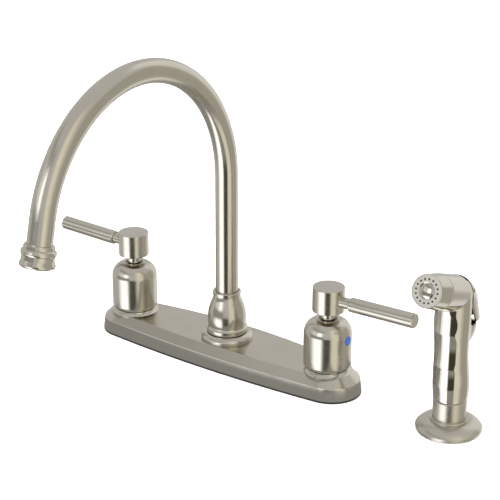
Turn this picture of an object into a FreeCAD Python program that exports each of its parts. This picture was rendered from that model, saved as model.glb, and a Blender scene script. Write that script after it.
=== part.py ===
import FreeCAD, Part

import math
import os
from types import SimpleNamespace

import Sketcher

# A kitchen faucet with two lever handles on a long deck plate, a swivelling gooseneck spout and a
# separate side spray. Millimetres. The origin is on the deck, under the spout's axis: +X runs
# towards the cold handle, -Y towards the user and +Z up. What lies below z = 0 goes through the deck.

SIZES = {
    # deck plate and gasket
    "plate_length": 262.0,
    "plate_front": 30.2,
    "plate_back": 37.0,
    "plate_end_radius": 25.4,
    "plate_top": 19.0,
    "plate_side_top": 12.2,
    "plate_side_slope": 6.8,
    "plate_bevel_width": 6.3,
    "plate_edge_radius": 1.2,
    "plate_wall": 2.0,
    "gasket_thickness": 1.8,
    "gasket_inset": 0.3,
    "deck_thickness": 19.0,
    "handle_spacing": 203.2,
    # clearances
    "running_gap": 0.06,
    "moving_gap": 0.35,
    "axial_play": 0.1,
    "hole_clearance": 0.4,
    # valve body, one under each handle
    "shank_radius": 10.45,
    "shank_length": 57.0,
    "shank_bore": 6.5,
    "relief_depth": 0.6,
    "relief_width": 1.2,
    "valve_block_radius": 14.0,
    "valve_neck_radius": 13.0,
    "valve_neck_top": 24.0,
    "socket_radius": 10.0,
    "socket_floor": 8.0,
    "washer_radius": 19.0,
    "washer_thickness": 1.6,
    "nut_flats": 32.0,
    "nut_thickness": 8.0,
    # cartridge
    "seat_thickness": 2.5,
    "disc_radius": 7.9,
    "disc_thickness": 3.2,
    "disc_port": 2.2,
    "disc_port_offset": 4.0,
    "stem_foot_thickness": 2.4,
    "stem_radius": 4.5,
    "spline_radius": 4.0,
    "spline_start": 40.0,
    "stem_top": 54.5,
    "bonnet_flats": 23.0,
    "bonnet_thickness": 6.0,
    "bonnet_neck_radius": 8.5,
    "bonnet_neck_top": 38.0,
    "ring_section": 0.55,
    "ring_height": 28.0,
    # escutcheon ring, bell, post and head of a handle
    "escutcheon_top": 21.6,
    "escutcheon_top_radius": 18.0,
    "escutcheon_foot_radius": 20.8,
    "escutcheon_bend": 7.0,
    "bell_bottom": 22.2,
    "bell_radius": 19.6,
    "bell_wall": 2.2,
    "bell_foot_inset": 1.4,
    "bell_foot_height": 3.0,
    "bell_shoulder": 51.2,
    "bell_mouth_radius": 7.6,
    "bell_recess": 2.2,
    "boss_radius": 7.5,
    "boss_top": 57.0,
    "index_height": 48.4,
    "index_radius": 3.85,
    "index_dome": 0.4,
    "set_screw_radius": 2.0,
    "post_radius": 5.9,
    "post_stud_radius": 3.0,
    "post_stud_length": 4.5,
    "post_top": 78.4,
    "head_radius": 13.1,
    "head_bottom": 70.3,
    "head_top": 90.9,
    "head_edge": 0.7,
    # lever grip
    "lever_height": 80.1,
    "lever_rise": 1.3,
    "lever_spigot_radius": 3.0,
    "lever_spigot_start": 7.2,
    "lever_neck_radius": 4.5,
    "lever_neck_end": 21.0,
    "lever_radius": 6.0,
    "lever_end": 79.8,
    "lever_chamfer": 0.6,
    # spout body and diverter
    "outlet_shank_radius": 9.5,
    "outlet_shank_length": 30.0,
    "outlet_bore": 3.5,
    "spout_block_radius": 15.0,
    "post_thread_radius": 12.5,
    "spout_post_top": 42.0,
    "swivel_radius": 9.0,
    "swivel_floor": 23.0,
    "chamber_radius": 7.0,
    "chamber_floor": 8.6,
    "diverter_seat_bottom": 16.0,
    "diverter_seat_thickness": 4.0,
    "piston_stem_radius": 2.9,
    "piston_disc_radius": 5.2,
    "piston_disc_thickness": 3.0,
    "piston_length": 12.0,
    "waterway_radius": 4.76,
    "waterway_wall": 0.9,
    "waterway_height": 9.0,
    "waterway_engagement": 3.0,
    "nipple_radius": 6.6,
    "nipple_bore": 4.0,
    "nipple_length": 15.0,
    "nipple_engagement": 8.0,
    "nipple_hex_flats": 15.0,
    "nipple_hex_thickness": 5.0,
    # flange, hub and swivel of the spout
    "flange_radius": 21.7,
    "flange_top": 25.2,
    "flange_top_radius": 17.6,
    "flange_side_bottom": 20.0,
    "flange_side_top": 21.8,
    "hub_bottom": 25.8,
    "hub_foot_radius": 17.3,
    "hub_foot_low": 27.2,
    "hub_foot_high": 29.4,
    "hub_waist": 31.2,
    "hub_waist_radius": 15.7,
    "hub_belly_radius": 37.2,
    "hub_shoulder": 53.2,
    "hub_shoulder_radius": 12.9,
    "hub_throat": 58.6,
    "hub_throat_radius": 11.4,
    "hub_throat_bend": 13.5,
    "hub_rim_radius": 11.9,
    "hub_top": 62.0,
    "hub_rim_edge": 0.5,
    "hub_chamber_radius": 12.75,
    "hub_chamber_top": 48.3,
    "thrust_washer_thickness": 1.0,
    "spigot_flange_thickness": 3.0,
    "spigot_bore": 6.5,
    "spigot_bottom": 24.0,
    "spigot_stub_length": 12.0,
    "packing_section": 0.72,
    "packing_low": 28.0,
    "packing_high": 35.0,
    # gooseneck tube and aerator
    "tube_radius": 9.5,
    "tube_wall": 1.2,
    "riser_top": 163.0,
    "arch_radius": 108.4,
    "arch_sweep": 166.7,
    "tail_length": 21.5,
    "collar_start": 17.4,
    "collar_radius": 11.5,
    "collar_bead_radius": 13.0,
    "collar_bead": 22.8,
    "collar_end": 25.2,
    "aerator_waist_radius": 12.1,
    "aerator_lip_radius": 13.3,
    "aerator_lip": 31.5,
    "aerator_end": 34.2,
    "aerator_mouth_radius": 11.0,
    "aerator_bore": 8.8,
    "aerator_hole_radius": 0.8,
    "aerator_hole_circle": 6.2,
    "aerator_hole_count": 12,
    # side spray holder
    "spray_x": 215.0,
    "spray_gasket_radius": 23.5,
    "spray_gasket_thickness": 0.6,
    "spray_flange_radius": 26.0,
    "spray_flange_edge": 0.8,
    "spray_flange_side": 3.3,
    "spray_flange_top": 9.3,
    "spray_flange_top_radius": 15.0,
    "spray_flange_bend": 13.2,
    "guide_shank_radius": 12.6,
    "guide_shank_length": 50.0,
    "guide_bead_radius": 15.2,
    "guide_bead_thickness": 1.6,
    "guide_radius": 13.2,
    "guide_top": 26.6,
    "guide_cup_radius": 11.6,
    "guide_cup_floor": 8.0,
    "guide_bore": 9.5,
    "spray_nut_radius": 21.0,
    "spray_nut_thickness": 9.0,
    # handset, in heights above its foot
    "neck_radius": 13.4,
    "swell_radius": 14.1,
    "swell_height": 9.05,
    "grip_low_radius": 13.9,
    "grip_low_height": 23.05,
    "grip_low_lean": -1.2,
    "waist_radius": 13.2,
    "waist_height": 41.05,
    "waist_lean": -2.2,
    "grip_high_radius": 14.0,
    "grip_high_height": 63.05,
    "grip_high_lean": -3.0,
    "throat_radius": 13.9,
    "throat_height": 77.0,
    "throat_lean": -2.8,
    "elbow_height": 88.25,
    "elbow_lean": -2.5,
    "elbow_radius": 13.9,
    "groove_depth": 0.8,
    "groove_bend": 100.0,
    "groove_outer_radius": 25.0,
    "groove_low": 18.55,
    "groove_low_half": 11.0,
    "groove_middle": 39.05,
    "groove_middle_half": 20.5,
    "groove_high": 67.05,
    "groove_high_half": 11.0,
    "handset_bore": 6.0,
    "handset_bore_top": 82.0,
    # head of the handset, in distances from the elbow
    "head_tilt": 20.3,
    "handset_seam": 30.0,
    "handset_face": 45.4,
    "chamber_bore": 8.0,
    "chamber_start": 4.0,
    "duct_radius": 2.5,
    "duct_lean": -7.0,
    "collar_spigot_radius": 10.4,
    "collar_spigot_length": 6.0,
    # nozzle
    "seal_thickness": 0.4,
    "nozzle_radius": 13.75,
    "nozzle_face_radius": 12.3,
    "nozzle_bore": 10.4,
    "face_radius": 11.5,
    "face_thickness": 2.8,
    "face_inset": 0.2,
    "jet_count": 16,
    "jet_circle": 8.87,
    "jet_radius": 0.6,
    "button_radius": 5.1,
    "button_rise": 1.0,
    "button_groove": 1.5,
    "button_groove_depth": 0.5,
    # thumb lever, a hood round the handset's back, in places from the elbow; the hump below it
    "thumb_width": 26.0,
    "thumb_wall": 1.6,
    "thumb_corner": 12.0,
    "thumb_top_out": 5.5,
    "thumb_top_rise": 12.8,
    "thumb_knee_out": 22.35,
    "thumb_knee_drop": 6.4,
    "thumb_slope": 17.4,
    "thumb_paddle_length": 14.5,
    "thumb_lip_inset": 3.8,
    "thumb_lip_drop": 4.6,
    "thumb_skirt": 16.25,
    "thumb_skirt_foot": 10.0,
    "thumb_press": 7.0,
    "thumb_pin_out": 8.0,
    "thumb_pin_rise": 2.3,
    "thumb_pin_radius": 1.5,
    "thumb_pin_length": 21.0,
    "thumb_boss_radius": 4.2,
    "thumb_boss_width": 14.4,
    "core_room": 0.8,
    "notch_gap": 0.5,
    "hump_height": 16.8,
    "hump_root_out": 12.7,
    "hump_reach_out": 22.9,
    "hump_crown_height": 1.3,
    "hump_bend": 17.0,
    # spray valve, laid across the handset below the elbow
    "push_drop": 14.2,
    "push_radius": 1.8,
    "push_head_radius": 2.4,
    "push_head_end": 19.6,
    "push_head_thickness": 1.5,
    "push_inner_end": 1.0,
    "push_seal_radius": 3.0,
    "push_seal_thickness": 1.5,
    "spring_radius": 2.25,
    "spring_wire": 0.27,
    "spring_wire_sides": 8,
    "spring_turns": 4,
    # hose coupling under the handset
    "coupling_radius": 10.9,
    "coupling_height": 15.0,
    "coupling_engagement": 9.0,
    "coupling_bore": 3.2,
    "tail_radius": 5.0,
    "hose_tail_length": 18.0,
    "barb_count": 3,
    "barb_height": 0.5,
    "barb_pitch": 4.0,
}

doc = FreeCAD.newDocument("kitchen_faucet")
sheet = doc.addObject("Spreadsheet::Sheet", "Sizes")
for row, (alias, value) in enumerate(SIZES.items(), 1):
    sheet.set(f"A{row}", alias)
    sheet.set(f"B{row}", str(value))
    sheet.setAlias(f"B{row}", alias)
doc.recompute()


class Size:
    """A length, angle or ratio worked out from the sheet: its number and its expression."""

    def __init__(self, number, text):
        self.number = number
        self.text = text

    def __add__(self, other):
        other = as_size(other)
        return Size(self.number + other.number, f"({self.text} + {other.text})")

    def __sub__(self, other):
        other = as_size(other)
        return Size(self.number - other.number, f"({self.text} - {other.text})")

    def __mul__(self, other):
        other = as_size(other)
        return Size(self.number * other.number, f"({self.text} * {other.text})")

    def __truediv__(self, other):
        other = as_size(other)
        return Size(self.number / other.number, f"({self.text} / {other.text})")

    def __neg__(self):
        return Size(-self.number, f"(0 - {self.text})")

    def cosine(self):
        return Size(math.cos(math.radians(self.number)), f"cos({self.text})")

    def sine(self):
        return Size(math.sin(math.radians(self.number)), f"sin({self.text})")

    def root(self):
        return Size(math.sqrt(self.number), f"sqrt({self.text})")


def as_size(value):
    return value if isinstance(value, Size) else Size(float(value), f"{float(value)}")


S = SimpleNamespace(**{alias: Size(value, f"Sizes.{alias}") for alias, value in SIZES.items()})
ZERO = as_size(0)
PIECES = []

# ---------------------------------------------------------------- tools for sketches and features


def bind(thing, prop, size):
    """Tie a property to the sheet."""
    thing.setExpression(prop, as_size(size).text)


def place(thing, x=ZERO, y=ZERO, z=ZERO, turn=None, about=(0, 0, 1)):
    """Turn a thing about an axis through its own origin, then move it to x, y, z."""
    if turn is not None:
        thing.Placement = FreeCAD.Placement(
            FreeCAD.Vector(), FreeCAD.Rotation(FreeCAD.Vector(*about), as_size(turn).number)
        )
        if isinstance(turn, Size):
            bind(thing, "Placement.Rotation.Angle", turn)
    for letter, size in zip("xyz", (x, y, z)):
        if size is not ZERO:
            bind(thing, f"Placement.Base.{letter}", size)
    return thing


def keep(thing, name):
    """Give a finished sub-part its name and list it for export."""
    thing.Label = name
    PIECES.append(thing)
    return thing


def sketch_on(owner, name, plane, lift=None):
    """An empty sketch on one of the body's origin planes, lifted along the plane's normal."""
    sketch = owner.newObject("Sketcher::SketchObject", name)
    face = next(item for item in owner.Origin.OriginFeatures if item.Role == plane)
    sketch.AttachmentSupport = (face, [""])
    sketch.MapMode = "FlatFace"
    if lift is not None:
        sketch.AttachmentOffset = FreeCAD.Placement(
            FreeCAD.Vector(0, 0, as_size(lift).number), FreeCAD.Rotation()
        )
        bind(sketch, "AttachmentOffset.Base.z", lift)
    return sketch


def pin_point(sketch, geometry, vertex, x, y):
    """Hold one point of a sketch at x, y from the sketch's origin."""
    for kind, axis, size in (("DistanceX", -2, as_size(x)), ("DistanceY", -1, as_size(y))):
        if size.number == 0:
            sketch.addConstraint(Sketcher.Constraint("PointOnObject", geometry, vertex, axis))
        else:
            index = sketch.addConstraint(
                Sketcher.Constraint(kind, -1, 1, geometry, vertex, size.number)
            )
            bind(sketch, f"Constraints[{index}]", size)


def arc_between(start, end, bend):
    """The arc from start to end with radius |bend|, turning left where bend is positive."""
    chord = end - start
    radius = max(abs(bend), chord.Length / 2)
    side = FreeCAD.Vector(-chord.y, chord.x, 0).normalize() * (1 if bend > 0 else -1)
    centre = start + chord / 2 + side * math.sqrt(radius**2 - (chord.Length / 2) ** 2)
    middle = centre - side * radius
    return Part.Arc(start, middle, end)


def outline(owner, name, plane, corners, lift=None):
    """A closed sketch through corners (x, y); a third value is the bend of the arc ending there."""
    sketch = sketch_on(owner, name, plane, lift)
    points = [FreeCAD.Vector(as_size(c[0]).number, as_size(c[1]).number, 0) for c in corners]
    ends = []
    for i, point in enumerate(points):
        after = (i + 1) % len(points)
        bend = corners[after][2] if len(corners[after]) > 2 else None
        if bend is None:
            edge = sketch.addGeometry(Part.LineSegment(point, points[after]), False)
            ends.append((edge, 1, 2))
        else:
            edge = sketch.addGeometry(arc_between(point, points[after], bend.number), False)
            ends.append((edge, 1, 2) if bend.number > 0 else (edge, 2, 1))
    for i, (edge, first, last) in enumerate(ends):
        following, start, _ = ends[(i + 1) % len(ends)]
        sketch.addConstraint(Sketcher.Constraint("Coincident", edge, last, following, start))
        pin_point(sketch, edge, first, corners[i][0], corners[i][1])
    for i, (edge, first, last) in enumerate(ends):
        after = corners[(i + 1) % len(corners)]
        if len(after) > 2:
            bend = after[2] if after[2].number > 0 else -after[2]
            index = sketch.addConstraint(Sketcher.Constraint("Radius", edge, bend.number))
            bind(sketch, f"Constraints[{index}]", bend)
    return sketch


def circle(owner, name, plane, radius, x=ZERO, y=ZERO, lift=None):
    """A sketch of one circle."""
    sketch = sketch_on(owner, name, plane, lift)
    centre = FreeCAD.Vector(as_size(x).number, as_size(y).number, 0)
    round_edge = Part.Circle(centre, FreeCAD.Vector(0, 0, 1), radius.number)
    edge = sketch.addGeometry(round_edge, False)
    pin_point(sketch, edge, 3, x, y)
    index = sketch.addConstraint(Sketcher.Constraint("Radius", edge, radius.number))
    bind(sketch, f"Constraints[{index}]", radius)
    return sketch


def turned(name, corners):
    """A body turned about Z from a half section of corners (radius, height)."""
    body = doc.addObject("PartDesign::Body", name)
    sketch = outline(body, name + "_section", "XZ_Plane", corners)
    turn = body.newObject("PartDesign::Revolution", name + "_turn")
    turn.Profile = sketch
    turn.ReferenceAxis = (sketch, ["V_Axis"])
    turn.Angle = 360
    doc.recompute()
    return body


def ring(name, inner, outer, bottom, top):
    """A plain flat ring or sleeve."""
    return turned(name, [(inner, bottom), (outer, bottom), (outer, top), (inner, top)])


def padded(name, plane, corners, thickness):
    """A body of even thickness, half of it on each side of the plane."""
    body = doc.addObject("PartDesign::Body", name)
    pad = body.newObject("PartDesign::Pad", name + "_pad")
    pad.Profile = outline(body, name + "_outline", plane, corners)
    pad.SideType = "Symmetric"
    bind(pad, "Length", thickness)
    doc.recompute()
    return body


def soften(body, radius, rims, chamfer=False):
    """Fillet or chamfer a body's circular edges, each given by its radius and height."""
    base = body.Tip
    names = []
    for index, edge in enumerate(base.Shape.Edges, 1):
        if edge.Curve.TypeId != "Part::GeomCircle":
            continue
        for rim_radius, height in rims:
            near = abs(edge.Curve.Radius - as_size(rim_radius).number) < 1e-4
            if near and abs(edge.Curve.Center.z - as_size(height).number) < 1e-4:
                names.append(f"Edge{index}")
    kind = "Chamfer" if chamfer else "Fillet"
    feature = body.newObject(f"PartDesign::{kind}", f"{body.Name}_{kind.lower()}")
    feature.Base = (base, names)
    bind(feature, "Size" if chamfer else "Radius", radius)
    doc.recompute()
    return body


AXES = {"x": ((0, 1, 0), 90), "y": ((1, 0, 0), -90), "z": ((0, 0, 1), 0)}


def rod(name, radius, length, along="z", x=ZERO, y=ZERO, z=ZERO):
    """A cylinder that starts at x, y, z and runs along an axis."""
    cylinder = doc.addObject("Part::Cylinder", name)
    bind(cylinder, "Radius", radius)
    bind(cylinder, "Height", length)
    about, angle = AXES[along]
    return place(cylinder, x, y, z, angle, about)


def hexagon(name, flats, height, z):
    """A hexagonal prism across its flats, standing on z."""
    prism = doc.addObject("Part::Prism", name)
    prism.Polygon = 6
    bind(prism, "Circumradius", flats / math.sqrt(3))
    bind(prism, "Height", height)
    return place(prism, z=z)


def torus(name, major, minor, y=ZERO, z=ZERO):
    """A whole torus about a line parallel to Z."""
    loop = doc.addObject("Part::Torus", name)
    bind(loop, "Radius1", major)
    bind(loop, "Radius2", minor)
    return place(loop, y=y, z=z)


def fused(name, *shapes):
    union = doc.addObject("Part::MultiFuse", name)
    union.Shapes = list(shapes)
    doc.recompute()
    return union


def cut(name, base, *tools):
    result = doc.addObject("Part::Cut", name)
    result.Base = base
    result.Tool = tools[0] if len(tools) == 1 else fused(name + "_tools", *tools)
    doc.recompute()
    return result


def common(name, *shapes):
    shared = doc.addObject("Part::MultiCommon", name)
    shared.Shapes = list(shapes)
    doc.recompute()
    return shared


def group(name, *shapes):
    """Separate solids that share one node."""
    together = doc.addObject("Part::Compound", name)
    together.Links = list(shapes)
    doc.recompute()
    return together


# ---------------------------------------------------------------- deck plate and gasket

handle_x = S.handle_spacing / 2


def plate_outline(owner, name, inset, height):
    """Two bowed sides and two round ends, parallel to the plate's foot and inset from it."""
    end_centre = S.plate_length / 2 - S.plate_end_radius
    end = S.plate_end_radius - inset

    def side_arc(depth):
        """A side's radius, and where it meets the end arcs in line with both centres."""
        rise = depth - S.plate_end_radius
        bow = (end_centre * end_centre + depth * depth
               - S.plate_end_radius * S.plate_end_radius) / (rise * 2)
        reach = bow - S.plate_end_radius
        return bow - inset, end_centre + end_centre / reach * end, (bow - depth) / reach * end

    front, front_x, front_y = side_arc(S.plate_front)
    back, back_x, back_y = side_arc(S.plate_back)
    corners = [
        (back_x, back_y, end),
        (-back_x, back_y, back),
        (-front_x, -front_y, end),
        (front_x, -front_y, front),
    ]
    return outline(owner, name, "XY_Plane", corners, height)


def flat_edges(shape, lowest):
    """The level edges of a shape at or above a height."""
    return [
        f"Edge{index}"
        for index, edge in enumerate(shape.Edges, 1)
        if edge.BoundBox.ZLength < 0.01 and edge.BoundBox.ZMin > lowest - 0.01
    ]


plate_form = doc.addObject("PartDesign::Body", "plate_form")
plate_pad = plate_form.newObject("PartDesign::Pad", "plate_pad")
plate_pad.Profile = plate_outline(plate_form, "plate_foot", ZERO, S.gasket_thickness)
bind(plate_pad, "Length", S.plate_top - S.gasket_thickness)
doc.recompute()
slope = plate_form.newObject("PartDesign::Draft", "plate_slope")
slope.Base = (plate_pad, [
    f"Face{index}"
    for index, face in enumerate(plate_pad.Shape.Faces, 1)
    if face.Surface.TypeId == "Part::GeomCylinder"
])
deck_plane = next(i for i in plate_form.Origin.OriginFeatures if i.Role == "XY_Plane")
slope.NeutralPlane = (deck_plane, [""])
bind(slope, "Angle", S.plate_side_slope)
doc.recompute()
bevel = plate_form.newObject("PartDesign::Chamfer", "plate_bevel")
bevel.Base = (slope, flat_edges(slope.Shape, S.plate_top.number))
bevel.ChamferType = "Two distances"
bind(bevel, "Size", (S.plate_top - S.plate_side_top) / S.plate_side_slope.cosine())
bind(bevel, "Size2", S.plate_bevel_width)
doc.recompute()
rounding = plate_form.newObject("PartDesign::Fillet", "plate_rounding")
rounding.Base = (bevel, flat_edges(bevel.Shape, S.plate_side_top.number - 0.1))
bind(rounding, "Radius", S.plate_edge_radius)
doc.recompute()

side_inset = S.plate_side_top * S.plate_side_slope.sine() / S.plate_side_slope.cosine()
hollow_levels = [
    ("low", side_inset + S.plate_wall, S.plate_side_top - S.plate_wall),
    ("high", side_inset + S.plate_bevel_width, S.plate_top - S.plate_wall),
]
plate_tools = []
for label, inset, top in hollow_levels:
    hollow = doc.addObject("PartDesign::Body", f"plate_hollow_{label}")
    pad = hollow.newObject("PartDesign::Pad", f"plate_hollow_{label}_pad")
    pad.Profile = plate_outline(hollow, f"plate_hollow_{label}_outline", inset, ZERO)
    bind(pad, "Length", top)
    plate_tools.append(hollow)
for label, x, radius in (
    ("hot", -handle_x, S.valve_neck_radius),
    ("cold", handle_x, S.valve_neck_radius),
    ("spout", ZERO, S.post_thread_radius),
):
    plate_tools.append(
        rod(f"plate_hole_{label}", radius + S.hole_clearance, S.plate_top * 2, x=x)
    )
keep(cut("plate_cut", plate_form, *plate_tools), "deck_plate")

gasket_form = doc.addObject("PartDesign::Body", "gasket_form")
gasket_pad = gasket_form.newObject("PartDesign::Pad", "gasket_pad")
gasket_pad.Profile = plate_outline(gasket_form, "gasket_outline", S.gasket_inset, ZERO)
bind(gasket_pad, "Length", S.gasket_thickness)
gasket_holes = [
    rod(f"gasket_hole_{label}", radius + S.hole_clearance, S.gasket_thickness * 3, x=x,
        z=-S.gasket_thickness)
    for label, x, radius in (
        ("hot", -handle_x, S.valve_block_radius),
        ("cold", handle_x, S.valve_block_radius),
        ("spout", ZERO, S.spout_block_radius),
    )
]
keep(cut("gasket_cut", gasket_form, *gasket_holes), "deck_gasket")

# ---------------------------------------------------------------- hot and cold valves and handles

disc_bottom = S.socket_floor + S.seat_thickness
moving_disc_bottom = disc_bottom + S.disc_thickness
foot_bottom = moving_disc_bottom + S.disc_thickness
foot_top = foot_bottom + S.stem_foot_thickness
block_top = S.plate_top - S.plate_wall
nut_top = -S.deck_thickness - S.washer_thickness
relief_top = nut_top - S.nut_thickness - S.relief_width
ring_inner = S.stem_radius - S.ring_section * 2


def valve_body(name):
    """The brass body under a handle, with its inlet shank and the cartridge's socket."""
    relief_radius = S.shank_radius - S.relief_depth
    return turned(name + "_form", [
        (S.shank_bore, -S.shank_length),
        (S.shank_radius, -S.shank_length),
        (S.shank_radius, relief_top - S.relief_width),
        (relief_radius, relief_top - S.relief_width),
        (relief_radius, relief_top),
        (S.shank_radius, relief_top),
        (S.shank_radius, ZERO),
        (S.valve_block_radius, ZERO),
        (S.valve_block_radius, block_top),
        (S.valve_neck_radius, block_top),
        (S.valve_neck_radius, S.valve_neck_top),
        (S.socket_radius, S.valve_neck_top),
        (S.socket_radius, S.socket_floor),
        (S.shank_bore, S.socket_floor),
    ])


def disc_with_ports(name, radius, bottom):
    """A ceramic disc with two round ports, one each side of its centre."""
    plate = rod(name + "_blank", radius, S.disc_thickness, z=bottom)
    ports = [
        rod(f"{name}_port_{i}", S.disc_port, S.disc_thickness * 3, y=offset,
            z=bottom - S.disc_thickness)
        for i, offset in enumerate((S.disc_port_offset, -S.disc_port_offset))
    ]
    return cut(name + "_cut", plate, *ports)


def cartridge_shell(name):
    """The brass bonnet that screws into the valve body and guides the stem."""
    chamber_top = foot_top + S.axial_play
    shell_radius = S.socket_radius - S.running_gap
    chamber_radius = S.disc_radius + S.running_gap
    form = turned(name + "_form", [
        (ZERO, disc_bottom),
        (shell_radius, disc_bottom),
        (shell_radius, S.valve_neck_top),
        (S.bonnet_neck_radius, S.valve_neck_top),
        (S.bonnet_neck_radius, S.bonnet_neck_top),
        (ZERO, S.bonnet_neck_top),
    ])
    nut = hexagon(name + "_nut", S.bonnet_flats, S.bonnet_thickness, S.valve_neck_top)
    bore = turned(name + "_bore", [
        (ZERO, ZERO),
        (chamber_radius, ZERO),
        (chamber_radius, chamber_top),
        (S.stem_radius + S.running_gap, chamber_top),
        (S.stem_radius + S.running_gap, S.bonnet_neck_top * 2),
        (ZERO, S.bonnet_neck_top * 2),
    ])
    return cut(name + "_cut", fused(name + "_blank", form, nut), bore)


def valve_stem(name):
    """The stem that turns the moving disc, with a groove for its ring and a driving end."""
    foot_radius = S.disc_radius - S.running_gap
    half_ring = S.ring_section + S.running_gap
    return turned(name, [
        (ZERO, foot_bottom),
        (foot_radius, foot_bottom),
        (foot_radius, foot_top),
        (S.stem_radius, foot_top),
        (S.stem_radius, S.ring_height - half_ring),
        (ring_inner, S.ring_height - half_ring),
        (ring_inner, S.ring_height + half_ring),
        (S.stem_radius, S.ring_height + half_ring),
        (S.stem_radius, S.spline_start),
        (S.spline_radius, S.spline_start),
        (S.spline_radius, S.stem_top),
        (ZERO, S.stem_top),
    ])


def escutcheon_ring(name):
    """The blank of the flared ring round a handle's foot, reaching below the plate's top."""
    bore = S.valve_neck_radius + S.running_gap
    return turned(name + "_cone", [
        (bore, S.plate_side_top),
        (S.escutcheon_foot_radius, S.plate_side_top),
        (S.escutcheon_foot_radius, S.plate_top),
        (S.escutcheon_top_radius, S.escutcheon_top, -S.escutcheon_bend),
        (bore, S.escutcheon_top),
    ])


def handle_bell(name, side):
    """The hollow bell that turns with the stem; its boss grips the stem and holds the post."""
    inner = S.bell_radius - S.bell_wall
    boss_bottom = S.spline_start + S.axial_play
    stem_fit = S.spline_radius + S.running_gap
    stud_fit = S.post_stud_radius + S.running_gap
    bore_top = S.stem_top + S.running_gap
    shoulder = S.bell_radius - S.bell_mouth_radius
    recess_floor = S.bell_shoulder + shoulder - S.bell_recess
    foot_bend = (S.bell_foot_inset * S.bell_foot_inset
                 + S.bell_foot_height * S.bell_foot_height) / (S.bell_foot_inset * 2)
    form = turned(name + "_form", [
        (inner, S.bell_bottom),
        (S.bell_radius - S.bell_foot_inset, S.bell_bottom),
        (S.bell_radius, S.bell_bottom + S.bell_foot_height, foot_bend),
        (S.bell_radius, S.bell_shoulder),
        (S.bell_mouth_radius, S.bell_shoulder + shoulder, shoulder),
        (S.bell_mouth_radius, recess_floor),
        (stud_fit, recess_floor),
        (stud_fit, recess_floor - S.post_stud_length),
        (ZERO, recess_floor - S.post_stud_length),
        (ZERO, bore_top),
        (stem_fit, bore_top),
        (stem_fit, boss_bottom),
        (S.boss_radius, boss_bottom),
        (S.boss_radius, S.boss_top),
        (inner - S.bell_wall * 2, S.boss_top),
        (inner, S.bell_shoulder - S.bell_wall),
    ])
    window = rod(name + "_window", S.index_radius + S.running_gap, S.bell_radius, "x",
                 x=inner - S.bell_wall, z=S.index_height)
    screw_hole = rod(name + "_screw_hole", S.set_screw_radius + S.running_gap,
                     S.bell_radius / 2, "x", z=S.index_height)
    bell = cut(name + "_cut", form, window, screw_hole)
    return place(bell, turn=0 if side > 0 else 180)


def index_button(name, side):
    """The coloured plug in the bell's window, domed like the bell."""
    plug = rod(name + "_plug", S.index_radius, S.bell_wall * 3, "x",
               x=S.bell_radius - S.bell_wall, z=S.index_height)
    dome = rod(name + "_dome", S.bell_radius + S.index_dome, S.index_height * 2)
    return place(common(name + "_common", plug, dome), turn=0 if side > 0 else 180)


def handle_post(name):
    """The round post between bell and head, with a stud at its foot."""
    recess_floor = S.bell_shoulder + S.bell_radius - S.bell_mouth_radius - S.bell_recess
    return turned(name, [
        (ZERO, recess_floor - S.post_stud_length),
        (S.post_stud_radius, recess_floor - S.post_stud_length),
        (S.post_stud_radius, recess_floor),
        (S.post_radius, recess_floor),
        (S.post_radius, S.post_top),
        (ZERO, S.post_top),
    ])


def handle_head(name, side):
    """The cylinder on the post, bored for the post and for the lever's spigot."""
    post_fit = S.post_radius + S.running_gap
    form = turned(name + "_form", [
        (post_fit, S.head_bottom),
        (S.head_radius, S.head_bottom),
        (S.head_radius, S.head_top),
        (ZERO, S.head_top),
        (ZERO, S.post_top),
        (post_fit, S.post_top),
    ])
    rims = [(S.head_radius, S.head_bottom), (S.head_radius, S.head_top)]
    soften(form, S.head_edge, rims)
    hole = rod(name + "_hole", S.lever_spigot_radius + S.running_gap, S.head_radius * 2)
    place(hole, z=S.lever_height, turn=-S.lever_rise + 90, about=(0, 1, 0))
    start = rod(name + "_hole_start", S.lever_spigot_start, S.head_top * 2)
    head = cut(name + "_cut", form, cut(name + "_cross_bore", hole, start))
    return place(head, turn=0 if side > 0 else 180)


def lever_grip(name, side):
    """The lever: a spigot in the head, a thin neck saddled on it and a thicker grip."""
    form = turned(name + "_form", [
        (ZERO, ZERO),
        (S.lever_neck_radius, ZERO),
        (S.lever_neck_radius, S.lever_neck_end),
        (S.lever_radius, S.lever_neck_end),
        (S.lever_radius, S.lever_end),
        (ZERO, S.lever_end),
    ])
    rims = [(S.lever_radius, S.lever_neck_end), (S.lever_radius, S.lever_end)]
    soften(form, S.lever_chamfer, rims, chamfer=True)
    spigot = rod(name + "_spigot", S.lever_spigot_radius, S.lever_neck_end)
    for shape in (form, spigot):
        place(shape, z=S.lever_height, turn=-S.lever_rise + 90, about=(0, 1, 0))
    saddle = rod(name + "_saddle", S.head_radius, S.head_top * 2)
    start = rod(name + "_start", S.lever_spigot_start, S.head_top * 2)
    bar = cut(name + "_bar", form, saddle)
    root = cut(name + "_root", spigot, start)
    return place(fused(name + "_fused", bar, root), turn=0 if side > 0 else 180)


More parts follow.
